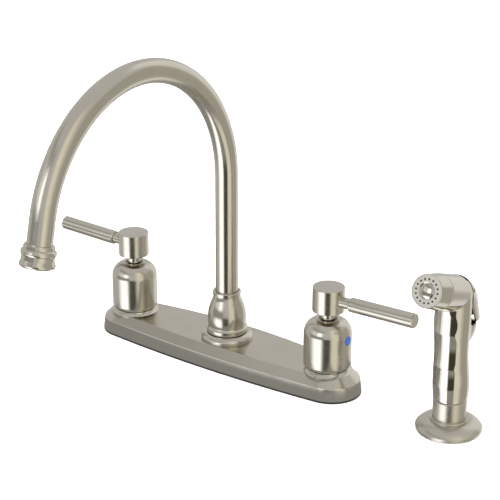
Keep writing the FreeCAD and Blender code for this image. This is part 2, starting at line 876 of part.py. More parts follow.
pairs = {"seat_seals": [], "fixed_discs": [], "cartridge_shells": []}
for name, side in (("hot", -1), ("cold", 1)):
    body = valve_body(f"{name}_body")
    # the side port for the waterway tube opens towards the spout
    port = rod(f"{name}_port", S.waterway_radius + S.running_gap, S.valve_block_radius, "x",
               x=S.valve_block_radius - S.waterway_engagement, z=S.waterway_height)
    duct = rod(f"{name}_duct", S.waterway_radius - S.waterway_wall, S.valve_block_radius, "x",
               z=S.waterway_height)
    ported = cut(f"{name}_ported", body, port, duct)
    place(ported, turn=0 if side < 0 else 180)
    pieces = {
        "valve_body": ported,
        "seat_seals": ring(f"{name}_seal", S.shank_bore, S.socket_radius - S.running_gap,
                           S.socket_floor, disc_bottom),
        "fixed_discs": disc_with_ports(f"{name}_fixed", S.disc_radius, disc_bottom),
        "moving_disc": disc_with_ports(
            f"{name}_moving", S.disc_radius - S.running_gap, moving_disc_bottom),
        "cartridge_shells": cartridge_shell(f"{name}_shell"),
        "valve_stem": valve_stem(f"{name}_stem"),
        "stem_o_ring": torus(f"{name}_o_ring", ring_inner + S.ring_section, S.ring_section,
                             z=S.ring_height),
        "escutcheon_ring": escutcheon_ring(f"{name}_escutcheon"),
        "handle_bell": handle_bell(f"{name}_bell", side),
        "index_button": index_button(f"{name}_index", side),
        "set_screw": place(
            rod(f"{name}_screw", S.set_screw_radius,
                S.boss_radius - S.spline_radius - S.running_gap),
            x=(S.spline_radius + S.running_gap) * side, z=S.index_height, turn=90 * side,
            about=(0, 1, 0)),
        "handle_post": handle_post(f"{name}_post"),
        "handle_head": handle_head(f"{name}_head", side),
        "lever_grip": lever_grip(f"{name}_lever", side),
    }
    for part_name, piece in pieces.items():
        x = handle_x * side
        if part_name == "set_screw":
            x = x + (S.spline_radius + S.running_gap) * side
        place(piece, x=x)
        if part_name == "escutcheon_ring":
            piece = cut(f"{name}_escutcheon_cut", piece, plate_form)
        if part_name in pairs:
            pairs[part_name].append(piece)
        else:
            keep(piece, f"{name}_{part_name}")
for part_name, pieces in pairs.items():
    keep(group(part_name + "_group", *pieces), part_name)

for part_name, flats, thickness, top in (
    ("deck_washers", None, S.washer_thickness, -S.deck_thickness),
    ("lock_nuts", S.nut_flats, S.nut_thickness, nut_top),
):
    copies = []
    for label, x in (("hot", -handle_x), ("cold", handle_x)):
        if flats is None:
            blank = rod(f"{label}_{part_name}_blank", S.washer_radius, thickness,
                        z=top - thickness)
        else:
            blank = hexagon(f"{label}_{part_name}_blank", flats, thickness, top - thickness)
        bore = rod(f"{label}_{part_name}_bore", S.shank_radius + S.running_gap, thickness * 3,
                   z=top - thickness * 2)
        copies.append(place(cut(f"{label}_{part_name}_cut", blank, bore), x=x))
    keep(group(part_name + "_group", *copies), part_name)

# ---------------------------------------------------------------- spout body, waterways, diverter

nipple_fit = S.nipple_radius + S.running_gap
spout_blank = turned("spout_blank", [
    (nipple_fit, -S.outlet_shank_length),
    (S.outlet_shank_radius, -S.outlet_shank_length),
    (S.outlet_shank_radius, ZERO),
    (S.spout_block_radius, ZERO),
    (S.spout_block_radius, block_top),
    (S.post_thread_radius, block_top),
    (S.post_thread_radius, S.spout_post_top),
    (S.swivel_radius, S.spout_post_top),
    (S.swivel_radius, S.swivel_floor),
    (S.chamber_radius, S.swivel_floor),
    (S.chamber_radius, S.chamber_floor),
    (S.outlet_bore, S.chamber_floor),
    (S.outlet_bore, S.nipple_engagement - S.outlet_shank_length),
    (nipple_fit, S.nipple_engagement - S.outlet_shank_length),
])
socket_end = S.spout_block_radius - S.waterway_engagement
spout_ports = []
for label, side in (("hot", -1), ("cold", 1)):
    for step, radius, start in (
        ("socket", S.waterway_radius + S.running_gap, socket_end),
        ("duct", S.waterway_radius - S.waterway_wall, ZERO),
    ):
        tool = rod(f"spout_{label}_{step}", radius, S.spout_block_radius * 2)
        place(tool, x=start * side, z=S.waterway_height, turn=90 * side, about=(0, 1, 0))
        spout_ports.append(tool)
keep(cut("spout_body_cut", spout_blank, *spout_ports), "spout_body")

waterway_length = (handle_x - S.valve_block_radius + S.waterway_engagement) - socket_end
waterway_pipes = []
for label, side in (("hot", -1), ("cold", 1)):
    pipe = ring(f"{label}_pipe", S.waterway_radius - S.waterway_wall, S.waterway_radius, ZERO,
                waterway_length)
    place(pipe, x=socket_end * side, z=S.waterway_height, turn=90 * side, about=(0, 1, 0))
    waterway_pipes.append(pipe)
keep(group("waterway_pipes", *waterway_pipes), "waterway_tubes")

seat_top = S.diverter_seat_bottom + S.diverter_seat_thickness
keep(ring("seat_ring", S.piston_stem_radius + S.running_gap,
          S.chamber_radius - S.running_gap, S.diverter_seat_bottom, seat_top), "diverter_seat")

piston_bottom = S.chamber_floor + S.moving_gap
piston = turned("piston", [
    (ZERO, piston_bottom),
    (S.piston_disc_radius, piston_bottom),
    (S.piston_disc_radius, piston_bottom + S.piston_disc_thickness),
    (S.piston_stem_radius, piston_bottom + S.piston_disc_thickness),
    (S.piston_stem_radius, piston_bottom + S.piston_length),
    (ZERO, piston_bottom + S.piston_length),
])
keep(piston, "diverter_piston")

nipple_top = S.nipple_engagement - S.outlet_shank_length
nipple_hex_top = -S.outlet_shank_length
nipple_form = turned("nipple_form", [
    (ZERO, nipple_top - S.nipple_engagement - S.nipple_hex_thickness - S.nipple_length),
    (S.nipple_radius, nipple_top - S.nipple_engagement - S.nipple_hex_thickness - S.nipple_length),
    (S.nipple_radius, nipple_top),
    (ZERO, nipple_top),
])
nipple_hex = hexagon("nipple_hex", S.nipple_hex_flats, S.nipple_hex_thickness,
                     nipple_hex_top - S.nipple_hex_thickness)
nipple_hole = rod("nipple_hole", S.nipple_bore, S.outlet_shank_length * 2,
                  z=-S.outlet_shank_length * 2)
keep(cut("nipple_cut", fused("nipple_blank", nipple_form, nipple_hex), nipple_hole),
     "spray_outlet_nipple")

# ---------------------------------------------------------------- flange, hub and swivel

flange = turned("flange", [
    (S.post_thread_radius + S.running_gap, S.plate_top),
    (S.flange_radius - S.hub_rim_edge, S.plate_top),
    (S.flange_radius, S.flange_side_bottom),
    (S.flange_radius, S.flange_side_top),
    (S.flange_top_radius, S.flange_top, (S.flange_radius - S.flange_top_radius) * 1.5),
    (S.post_thread_radius + S.running_gap, S.flange_top),
])
keep(flange, "spout_flange")

keep(ring("hub_washer", S.post_thread_radius + S.running_gap,
          S.hub_foot_radius - S.hub_rim_edge * 2, S.flange_top, S.hub_bottom), "hub_seal")

hub = turned("hub", [
    (S.post_thread_radius + S.running_gap, S.hub_bottom),
    (S.hub_foot_radius - S.hub_rim_edge, S.hub_bottom),
    (S.hub_foot_radius, S.hub_foot_low),
    (S.hub_foot_radius, S.hub_foot_high),
    (S.hub_waist_radius, S.hub_waist, -(S.hub_foot_radius - S.hub_waist_radius) * 2),
    (S.hub_shoulder_radius, S.hub_shoulder, S.hub_belly_radius),
    (S.hub_throat_radius, S.hub_throat, -S.hub_throat_bend),
    (S.hub_rim_radius, S.hub_throat + S.hub_rim_edge),
    (S.hub_rim_radius, S.hub_top - S.hub_rim_edge),
    (S.hub_rim_radius - S.hub_rim_edge, S.hub_top),
    (S.tube_radius + S.moving_gap, S.hub_top),
    (S.tube_radius + S.moving_gap, S.hub_chamber_top),
    (S.hub_chamber_radius, S.hub_chamber_top),
    (S.hub_chamber_radius, S.spout_post_top),
    (S.post_thread_radius + S.running_gap, S.spout_post_top),
])
keep(hub, "spout_hub")

hub_fit = S.hub_chamber_radius - S.running_gap
washer_top = S.spout_post_top + S.thrust_washer_thickness
keep(ring("thrust_ring", S.swivel_radius + S.running_gap, hub_fit,
          S.spout_post_top, washer_top), "thrust_washer")

spigot_flange_bottom = washer_top + S.axial_play
tube_bottom = spigot_flange_bottom + S.spigot_flange_thickness
spigot_radius = S.swivel_radius - S.running_gap
packing_floor = spigot_radius - S.packing_section * 2
packing_half = S.packing_section + S.running_gap
stub_radius = S.tube_radius - S.tube_wall - S.running_gap
spigot_corners = [(S.spigot_bore, S.spigot_bottom), (spigot_radius, S.spigot_bottom)]
for height in (S.packing_low, S.packing_high):
    spigot_corners += [
        (spigot_radius, height - packing_half),
        (packing_floor, height - packing_half),
        (packing_floor, height + packing_half),
        (spigot_radius, height + packing_half),
    ]
spigot_corners += [
    (spigot_radius, spigot_flange_bottom),
    (S.hub_chamber_radius - S.moving_gap, spigot_flange_bottom),
    (S.hub_chamber_radius - S.moving_gap, tube_bottom),
    (stub_radius, tube_bottom),
    (stub_radius, tube_bottom + S.spigot_stub_length),
    (S.spigot_bore, tube_bottom + S.spigot_stub_length),
]
keep(turned("spigot", spigot_corners), "spout_spigot")

packing = [
    torus(f"packing_{i}", packing_floor + S.packing_section, S.packing_section, z=height)
    for i, height in enumerate((S.packing_low, S.packing_high))
]
keep(group("packing_group", *packing), "spout_o_rings")

keep(ring("bushing", S.tube_radius + S.running_gap, hub_fit,
          tube_bottom + S.axial_play, S.hub_chamber_top), "swivel_bushing")

# ---------------------------------------------------------------- gooseneck tube and aerator

arch_end_y = -S.arch_radius * (as_size(1) - S.arch_sweep.cosine())
arch_end_z = S.riser_top + S.arch_radius * S.arch_sweep.sine()
tail_y = arch_end_y - S.tail_length * S.arch_sweep.sine()
tail_z = arch_end_z + S.tail_length * S.arch_sweep.cosine()


def spout_path(owner, name):
    """The tube's centre line: straight riser, arch towards the user, straight tail."""
    path = sketch_on(owner, name, "YZ_Plane")
    stops = [(ZERO, tube_bottom), (ZERO, S.riser_top), (arch_end_y, arch_end_z), (tail_y, tail_z)]
    points = [FreeCAD.Vector(y.number, z.number, 0) for y, z in stops]
    half_sweep = math.radians(S.arch_sweep.number / 2)
    crown = FreeCAD.Vector(
        -S.arch_radius.number * (1 - math.cos(half_sweep)),
        S.riser_top.number + S.arch_radius.number * math.sin(half_sweep),
        0,
    )
    riser = path.addGeometry(Part.LineSegment(points[0], points[1]), False)
    arch = path.addGeometry(Part.Arc(points[1], crown, points[2]), False)
    tail = path.addGeometry(Part.LineSegment(points[2], points[3]), False)
    path.addConstraint(Sketcher.Constraint("Coincident", riser, 2, arch, 1))
    path.addConstraint(Sketcher.Constraint("Coincident", arch, 2, tail, 1))
    pin_point(path, riser, 1, *stops[0])
    pin_point(path, riser, 2, *stops[1])
    pin_point(path, arch, 2, *stops[2])
    pin_point(path, tail, 2, *stops[3])
    index = path.addConstraint(Sketcher.Constraint("Radius", arch, S.arch_radius.number))
    bind(path, f"Constraints[{index}]", S.arch_radius)
    return path


def swept_tube(name, radius):
    body = doc.addObject("PartDesign::Body", name)
    pipe = body.newObject("PartDesign::AdditivePipe", name + "_pipe")
    pipe.Profile = circle(body, name + "_section", "XY_Plane", radius, lift=tube_bottom)
    pipe.Spine = spout_path(body, name + "_path")
    doc.recompute()
    return body


tube = cut("tube_cut", swept_tube("tube_outer", S.tube_radius),
           swept_tube("tube_inner", S.tube_radius - S.tube_wall))
keep(tube, "spout_tube")


def at_spout_end(thing):
    """Stand a piece turned about Z on the arch's end, with its height running down the tail."""
    return place(thing, y=arch_end_y, z=arch_end_z, turn=S.arch_sweep, about=(1, 0, 0))


tube_fit = S.tube_radius + S.running_gap
thread_radius = S.tube_radius + S.tube_wall / 2
collar_waist = S.collar_bead - (S.collar_end - S.collar_bead)
collar = turned("collar", [
    (tube_fit, S.collar_start),
    (S.collar_radius - S.hub_rim_edge, S.collar_start),
    (S.collar_radius, S.collar_start + S.hub_rim_edge * 2),
    (S.collar_radius, collar_waist),
    (S.collar_bead_radius, S.collar_bead, S.collar_end - S.collar_bead),
    (S.aerator_waist_radius, S.collar_end, S.collar_end - S.collar_bead),
    (thread_radius, S.collar_end),
    (thread_radius, S.tail_length),
    (tube_fit, S.tail_length),
])
keep(at_spout_end(collar), "nozzle_collar")

thread_fit = thread_radius - S.running_gap
aerator = turned("aerator", [
    (S.aerator_bore, S.tail_length + S.tube_wall),
    (thread_fit, S.tail_length + S.tube_wall),
    (thread_fit, S.collar_end),
    (S.aerator_waist_radius, S.collar_end),
    (S.aerator_waist_radius, S.aerator_lip - (S.aerator_lip - S.collar_end) / 2),
    (S.aerator_lip_radius, S.aerator_lip),
    (S.aerator_mouth_radius, S.aerator_end, S.aerator_end - S.aerator_lip),
    (S.aerator_bore, S.aerator_end),
])
keep(at_spout_end(aerator), "aerator_housing")

aerator_washer = ring("aerator_washer_ring", S.aerator_bore - S.tube_wall, thread_fit,
                      S.tail_length, S.tail_length + S.tube_wall)
keep(at_spout_end(aerator_washer), "aerator_washer")

insert_top = S.tail_length + S.tube_wall
insert = doc.addObject("PartDesign::Body", "aerator_core")
insert_pad = insert.newObject("PartDesign::Pad", "aerator_core_pad")
insert_pad.Profile = circle(insert, "aerator_core_disc", "XY_Plane",
                            S.aerator_bore - S.running_gap, lift=insert_top)
bind(insert_pad, "Length", S.aerator_end - insert_top - S.tube_wall)
doc.recompute()
insert_hole = insert.newObject("PartDesign::Pocket", "aerator_core_hole")
insert_hole.Profile = circle(insert, "aerator_core_hole_circle", "XY_Plane",
                             S.aerator_hole_radius, x=S.aerator_hole_circle, lift=insert_top)
insert_hole.Type = "ThroughAll"
insert_hole.Reversed = True
doc.recompute()
insert_pattern = insert.newObject("PartDesign::PolarPattern", "aerator_core_pattern")
insert_pattern.Originals = [insert_hole]
insert_pattern.Axis = (insert_hole.Profile[0], ["N_Axis"])
insert_pattern.Angle = 360
bind(insert_pattern, "Occurrences", S.aerator_hole_count)
insert.Tip = insert_pattern
doc.recompute()
keep(at_spout_end(insert), "aerator_insert")

# ---------------------------------------------------------------- side spray holder


def at_spray(thing, y=ZERO, z=ZERO, turn=None, about=(1, 0, 0)):
    """Move a piece to the side spray's hole in the deck."""
    return place(thing, x=S.spray_x, y=y, z=z, turn=turn, about=about)


guide_fit = S.guide_shank_radius + S.running_gap
keep(at_spray(ring("spray_gasket_ring", guide_fit, S.spray_gasket_radius, ZERO,
                   S.spray_gasket_thickness)), "spray_gasket")

spray_flange = turned("spray_flange_form", [
    (guide_fit, S.spray_gasket_thickness),
    (S.spray_flange_radius - S.spray_flange_edge, S.spray_gasket_thickness),
    (S.spray_flange_radius, S.spray_flange_side),
    (S.spray_flange_top_radius, S.spray_flange_top, S.spray_flange_bend),
    (guide_fit, S.spray_flange_top),
])
keep(at_spray(spray_flange), "spray_flange")

guide_bead_top = S.spray_flange_top + S.guide_bead_thickness
guide = turned("guide", [
    (S.guide_bore, -S.guide_shank_length),
    (S.guide_shank_radius, -S.guide_shank_length),
    (S.guide_shank_radius, S.spray_flange_top),
    (S.guide_bead_radius, S.spray_flange_top),
    (S.guide_bead_radius, guide_bead_top - S.hub_rim_edge),
    (S.guide_bead_radius - S.hub_rim_edge, guide_bead_top),
    (S.guide_radius, guide_bead_top),
    (S.guide_radius, S.guide_top - S.hub_rim_edge),
    (S.guide_radius - S.hub_rim_edge, S.guide_top),
    (S.guide_cup_radius, S.guide_top),
    (S.guide_cup_radius, S.guide_cup_floor),
    (S.guide_bore, S.guide_cup_floor),
])
keep(at_spray(guide), "spray_guide")

spray_nut_top = -S.deck_thickness
keep(at_spray(ring("spray_nut", guide_fit, S.spray_nut_radius,
                   spray_nut_top - S.spray_nut_thickness, spray_nut_top)), "spray_lock_nut")

# ---------------------------------------------------------------- spray handset

handset_bottom = S.guide_top + S.moving_gap
elbow_z = handset_bottom + S.elbow_height

grip = doc.addObject("PartDesign::Body", "grip")
grip_levels = [
    (ZERO, S.neck_radius, ZERO),
    (S.swell_height, S.swell_radius, ZERO),
    (S.grip_low_height, S.grip_low_radius, S.grip_low_lean),
    (S.waist_height, S.waist_radius, S.waist_lean),
    (S.grip_high_height, S.grip_high_radius, S.grip_high_lean),
    (S.throat_height, S.throat_radius, S.throat_lean),
    (S.elbow_height, S.elbow_radius, S.elbow_lean),
]
grip_sections = [
    circle(grip, f"grip_level_{i}", "XY_Plane", radius, y=lean, lift=handset_bottom + height)
    for i, (height, radius, lean) in enumerate(grip_levels)
]
grip_loft = grip.newObject("PartDesign::AdditiveLoft", "grip_loft")
grip_loft.Profile = grip_sections[0]
grip_loft.Sections = grip_sections[1:]
doc.recompute()


def on_head(thing, x=ZERO):
    """Stand a piece turned about Z on the elbow, with its height running out to the face."""
    return place(thing, x=x, y=S.elbow_lean, z=elbow_z, turn=-S.head_tilt + 90, about=(1, 0, 0))


collar_spigot_end = S.handset_seam + S.collar_spigot_length
barrel = on_head(turned("barrel", [
    (ZERO, ZERO),
    (S.elbow_radius, ZERO),
    (S.elbow_radius, S.handset_seam),
    (S.collar_spigot_radius, S.handset_seam),
    (S.collar_spigot_radius, collar_spigot_end),
    (ZERO, collar_spigot_end),
]))
elbow = doc.addObject("Part::Sphere", "elbow")
bind(elbow, "Radius", S.elbow_radius)
place(elbow, y=S.elbow_lean, z=elbow_z)

pin_y = S.elbow_lean + S.thumb_pin_out
pin_z = elbow_z + S.thumb_pin_rise


def pressed(y, z):
    """Where a point of the thumb lever goes when the lever is pressed home."""
    out = y - pin_y
    up = z - pin_z
    return (pin_y + out * S.thumb_press.cosine() + up * S.thumb_press.sine(),
            pin_z - out * S.thumb_press.sine() + up * S.thumb_press.cosine())


# the lever's back in the YZ plane: a crown that runs over into a straight paddle, then a lip
slope_cosine = S.thumb_slope.cosine()
slope_sine = S.thumb_slope.sine()
top_y = S.elbow_lean + S.thumb_top_out
top_z = elbow_z + S.thumb_top_rise
knee_y = S.elbow_lean + S.thumb_knee_out
knee_z = elbow_z - S.thumb_knee_drop
tip_y = knee_y + S.thumb_paddle_length * slope_sine
tip_z = knee_z - S.thumb_paddle_length * slope_cosine
lip_y = tip_y - S.thumb_lip_inset
lip_z = tip_z - S.thumb_lip_drop

# the crown is the arc from the top that meets the paddle without a corner
crown_out = knee_y - top_y
crown_rise = top_z - knee_z
crown_bend = (crown_out * crown_out + crown_rise * crown_rise) / (
    (crown_out * slope_cosine - crown_rise * slope_sine) * 2)
crown_y = knee_y - crown_bend * slope_cosine
crown_z = knee_z - crown_bend * slope_sine


def lever_back(depth):
    """The lever's back from lip to top, moved inwards by a depth."""
    share = (crown_bend - depth) / crown_bend
    return [
        (lip_y - depth, lip_z),
        (tip_y - depth * slope_cosine, tip_z - depth * slope_sine),
        (knee_y - depth * slope_cosine, knee_z - depth * slope_sine),
        (crown_y + (top_y - crown_y) * share, crown_z + (top_z - crown_z) * share,
         crown_bend - depth),
    ]


def round_back(body, radius, lowest, highest):
    """Round a padded piece along both sides of its back, between two heights."""
    pad = body.Tip
    front = pin_y + S.thumb_boss_radius
    names = [
        f"Edge{index}"
        for index, edge in enumerate(pad.Shape.Edges, 1)
        if edge.BoundBox.XLength < 0.01
        and edge.CenterOfMass.y > front.number
        and lowest.number < edge.CenterOfMass.z < highest.number
    ]
    rounding = body.newObject("PartDesign::Fillet", body.Name + "_rounding")
    rounding.Base = (pad, names)
    bind(rounding, "Radius", radius)
    doc.recompute()
    return body


# the lever is a hood: its skirts reach round the sides of the handset's back
skirt = (knee_y - S.thumb_skirt, knee_z)
skirt_foot = (lip_y - S.thumb_skirt_foot, lip_z)
hood_shell = round_back(
    padded("hood_shell", "YZ_Plane", lever_back(ZERO) + [skirt, skirt_foot], S.thumb_width),
    S.thumb_corner, tip_z, top_z)
inner_back = lever_back(S.thumb_wall)
hood_hollow = round_back(
    padded("hood_hollow", "YZ_Plane", [
        (S.elbow_lean, lip_z - S.thumb_wall),
        (lip_y - S.thumb_wall, lip_z - S.thumb_wall),
        *inner_back[1:],
        (S.elbow_lean, inner_back[-1][1]),
    ], S.thumb_width - S.thumb_wall * 2),
    S.thumb_corner - S.thumb_wall, tip_z - S.thumb_wall, top_z - S.thumb_wall * 2)
thumb_boss = rod("thumb_boss", S.thumb_boss_radius, S.thumb_boss_width, "x",
                 x=-S.thumb_boss_width / 2, y=pin_y, z=pin_z)
thumb_web = padded("thumb_web", "YZ_Plane", [
    (pin_y - S.thumb_boss_radius, pin_z),
    (pin_y + S.thumb_boss_radius, pin_z),
    (pin_y + S.thumb_boss_radius, top_z),
    (pin_y - S.thumb_boss_radius, top_z),
], S.thumb_boss_width)
thumb_hole = rod("thumb_hole", S.thumb_pin_radius + S.running_gap, S.thumb_pin_length * 2, "x",
                 x=-S.thumb_pin_length, y=pin_y, z=pin_z)
thumb = cut("thumb_cut", fused("thumb_form", cut("hood_cut", hood_shell, hood_hollow), thumb_boss,
                               common("thumb_web_trimmed", thumb_web, hood_shell)), thumb_hole)
keep(at_spray(thumb), "thumb_lever")

thumb_pin = rod("thumb_pin_rod", S.thumb_pin_radius, S.thumb_pin_length, "x")
place(thumb_pin, x=S.spray_x - S.thumb_pin_length / 2, y=pin_y, z=pin_z)
keep(thumb_pin, "thumb_pin")

# the hump ends below the lip of the lever, which drops a little as it is pressed
hump_top = pressed(lip_y, lip_z)[1] - S.notch_gap
hump_reach = S.elbow_lean + S.hump_reach_out
hump = round_back(
    padded("hump", "YZ_Plane", [
        (S.elbow_lean, hump_top - S.hump_height),
        (S.elbow_lean + S.hump_root_out, hump_top - S.hump_height),
        (hump_reach, hump_top - S.hump_crown_height, S.hump_bend),
        (hump_reach, hump_top),
        (S.elbow_lean, hump_top),
    ], S.thumb_width),
    S.thumb_corner, hump_top - S.hump_height, hump_top)

# three shallow hollows run round the front of the grip
grooves = []
for label, height, half, radius, lean in (
    ("low", S.groove_low, S.groove_low_half, S.grip_low_radius, S.grip_low_lean),
    ("middle", S.groove_middle, S.groove_middle_half, S.waist_radius, S.waist_lean),
    ("high", S.groove_high, S.groove_high_half, S.grip_high_radius, S.grip_high_lean),
):
    floor = radius - lean - S.groove_depth
    rim = floor + S.groove_bend - (S.groove_bend * S.groove_bend - half * half).root()
    hollow = turned(f"groove_{label}", [
        (rim, -half, S.groove_bend),
        (S.groove_outer_radius, -half),
        (S.groove_outer_radius, half),
        (rim, half),
    ])
    grooves.append(place(hollow, z=handset_bottom + height))
grooved_grip = cut("grooved_grip", fused("grip_blank", grip_loft, barrel, elbow), *grooves)

# water climbs the bore, and a duct at the bore's front leads into the head's chamber
bore_rod = rod("handset_bore_rod", S.handset_bore, S.handset_bore_top, z=handset_bottom)
duct = rod("handset_duct", S.duct_radius, S.elbow_height - S.handset_bore_top + S.duct_radius,
           y=S.duct_lean, z=handset_bottom + S.handset_bore_top - S.duct_radius)
chamber = on_head(turned("chamber_rod", [
    (ZERO, S.chamber_start),
    (S.chamber_bore, S.chamber_start),
    (S.chamber_bore, S.handset_face),
    (ZERO, S.handset_face),
]))

# the handset narrows to a core inside the hood, and leaves room for the pressed lever
pressed_skirt = pressed(*skirt)
pressed_foot = pressed(*skirt_foot)
above = top_z + S.elbow_radius
behind = tip_y + S.elbow_radius
hood_room = padded("hood_room", "YZ_Plane", [
    (pressed_foot[0] - S.moving_gap, hump_top),
    (behind, hump_top),
    (behind, above),
    (top_y - S.moving_gap, above),
    (top_y - S.moving_gap, top_z),
    (pressed_skirt[0] - S.moving_gap, pressed_skirt[1]),
], S.elbow_radius * 3)
core_depth = S.thumb_wall + S.core_room
core_back = lever_back(core_depth)
core = round_back(
    padded("core", "YZ_Plane", [
        (-S.elbow_radius, hump_top - S.notch_gap),
        (lip_y - core_depth, hump_top - S.notch_gap),
        *core_back[1:],
        (-S.elbow_radius, core_back[-1][1]),
    ], S.thumb_width - S.thumb_wall * 2 - S.moving_gap * 2),
    S.thumb_corner - core_depth, tip_z - core_depth, top_z - core_depth * 2)
boss_room = S.thumb_boss_radius + S.moving_gap * 2
boss_slot = padded("boss_slot", "YZ_Plane", [
    (pin_y - boss_room, pin_z - boss_room),
    (behind, pin_z - boss_room),
    (behind, above),
    (pin_y - boss_room, above),
], S.thumb_boss_width + S.moving_gap * 2)
pin_hole = rod("thumb_pin_hole", S.thumb_pin_radius + S.running_gap, S.thumb_pin_length, "x",
               x=-S.thumb_pin_length / 2, y=pin_y, z=pin_z)
push_z = elbow_z - S.push_drop
push_hole = rod("push_hole", S.push_radius + S.running_gap, tip_y, "y", z=push_z)
handset = cut("handset_cut", fused("handset_blank", grooved_grip, hump), bore_rod, duct, chamber,
              cut("side_room", hood_room, core), boss_slot, pin_hole, push_hole)
keep(at_spray(handset), "handset_body")

# ---------------------------------------------------------------- spray valve

# the push rod is turned about its own axis, then laid along +Y at its height
head_start = S.push_head_end - S.push_head_thickness
push = turned("push", [
    (ZERO, S.push_inner_end),
    (S.push_radius, S.push_inner_end),
    (S.push_radius, head_start),
    (S.push_head_radius, head_start),
    (S.push_head_radius, S.push_head_end),
    (ZERO, S.push_head_end),
])
keep(at_spray(push, z=push_z, turn=-90), "spray_push_rod")
push_seal = ring("push_seal_ring", S.push_radius + S.running_gap, S.push_seal_radius,
                 S.push_inner_end, S.push_inner_end + S.push_seal_thickness)
keep(at_spray(push_seal, z=push_z, turn=-90), "push_rod_seal")

# the return spring is wound round the push rod, from the grip's back to the rod's head
spring_start = S.grip_high_radius + S.grip_high_lean + S.moving_gap
spring_length = head_start - spring_start - S.spring_wire * 2
spring_pitch = spring_length / S.spring_turns
helix = Part.makeHelix(spring_pitch.number, spring_length.number, S.spring_radius.number)
# the wire has flat sides, this far round from one corner to the next
corner_step = 2 * math.pi / S.spring_wire_sides.number
corner_reach = S.spring_wire.number / math.cos(corner_step / 2)
wire_corners = [
    FreeCAD.Vector(
        S.spring_radius.number + corner_reach * math.cos(corner_step * (i + 0.5)),
        0,
        corner_reach * math.sin(corner_step * (i + 0.5)),
    )
    for i in range(int(S.spring_wire_sides.number))
]
wire_section = Part.makePolygon(wire_corners + wire_corners[:1])
spring = doc.addObject("Part::Feature", "spring")
spring.Shape = Part.Wire(helix).makePipeShell([wire_section], True, True)
keep(at_spray(spring, y=spring_start + S.spring_wire, z=push_z, turn=-90), "push_rod_spring")

# ---------------------------------------------------------------- nozzle and hose coupling

nozzle_start = S.handset_seam + S.seal_thickness
spigot_fit = S.collar_spigot_radius + S.running_gap
keep(on_head(ring("nozzle_seal_ring", spigot_fit, S.nozzle_radius - S.seal_thickness,
                  S.handset_seam, nozzle_start), S.spray_x), "nozzle_seal")

face_bottom = S.handset_face - S.face_thickness
nozzle = turned("nozzle", [
    (spigot_fit, nozzle_start),
    (S.nozzle_radius, nozzle_start),
    (S.nozzle_face_radius + S.seal_thickness, S.handset_face - S.seal_thickness * 2),
    (S.nozzle_face_radius, S.handset_face),
    (S.face_radius, S.handset_face),
    (S.face_radius, face_bottom),
    (S.nozzle_bore, face_bottom),
    (S.nozzle_bore, collar_spigot_end + S.moving_gap),
    (spigot_fit, collar_spigot_end + S.moving_gap),
])
keep(on_head(nozzle, S.spray_x), "nozzle_ring")

face_fit = S.face_radius - S.running_gap
face_top = S.handset_face - S.face_inset
button_bend = (S.button_radius * S.button_radius
               + S.button_rise * S.button_rise) / (S.button_rise * 2)
face = turned("face", [
    (ZERO, face_bottom),
    (face_fit, face_bottom),
    (face_fit, face_top),
    (S.button_radius + S.button_groove, face_top),
    (S.button_radius + S.button_groove / 2, face_top - S.button_groove_depth),
    (S.button_radius, face_top),
    (ZERO, face_top + S.button_rise, button_bend),
])
jet = face.newObject("PartDesign::Pocket", "jet")
jet.Profile = circle(face, "jet_outline", "XY_Plane", S.jet_radius, x=S.jet_circle,
                     lift=S.handset_face)
jet.Type = "ThroughAll"
doc.recompute()
jets = face.newObject("PartDesign::PolarPattern", "jets")
jets.Originals = [jet]
jets.Axis = (jet.Profile[0], ["N_Axis"])
jets.Angle = 360
bind(jets, "Occurrences", S.jet_count)
face.Tip = jets
doc.recompute()
keep(on_head(face, S.spray_x), "spray_face")

coupling_bottom = handset_bottom - S.coupling_height
tail_bottom = coupling_bottom - S.hose_tail_length
coupling_fit = S.handset_bore - S.running_gap
coupling_corners = [(S.coupling_bore, tail_bottom), (S.tail_radius, tail_bottom)]
for i in range(1, int(S.barb_count.number) + 1):
    barb_top = tail_bottom + S.barb_pitch * i
    coupling_corners += [(S.tail_radius + S.barb_height, barb_top), (S.tail_radius, barb_top)]
coupling_corners += [
    (S.tail_radius, coupling_bottom),
    (S.coupling_radius, coupling_bottom),
    (S.coupling_radius, handset_bottom),
    (coupling_fit, handset_bottom),
    (coupling_fit, handset_bottom + S.coupling_engagement),
    (S.coupling_bore, handset_bottom + S.coupling_engagement),
]
coupling = turned("coupling", coupling_corners)
keep(at_spray(coupling), "hose_coupling")

# ---------------------------------------------------------------- checks and export

doc.recompute()
for item in doc.Objects:
    if "Invalid" in item.State or "Error" in item.State:
        raise RuntimeError(f"{item.Label} failed: {item.State}")
for piece in PIECES:
    if piece.Shape.isNull() or not piece.Shape.isValid() or not piece.Shape.Solids:
        raise RuntimeError(f"{piece.Label} has no valid solid")

os.makedirs("parts", exist_ok=True)
for piece in PIECES:
    piece.Shape.exportStep(f"parts/{piece.Label}.step")
    box = piece.Shape.optimalBoundingBox(False)
    print(f"{piece.Label:24} {len(piece.Shape.Solids)} solid  {piece.Shape.Volume:10.1f} mm3  "
          f"x {box.XMin:7.1f} {box.XMax:7.1f}  y {box.YMin:7.1f} {box.YMax:7.1f}  "
          f"z {box.ZMin:7.1f} {box.ZMax:7.1f}")
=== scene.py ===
import math

import bmesh
import bpy
from mathutils import Matrix, Vector


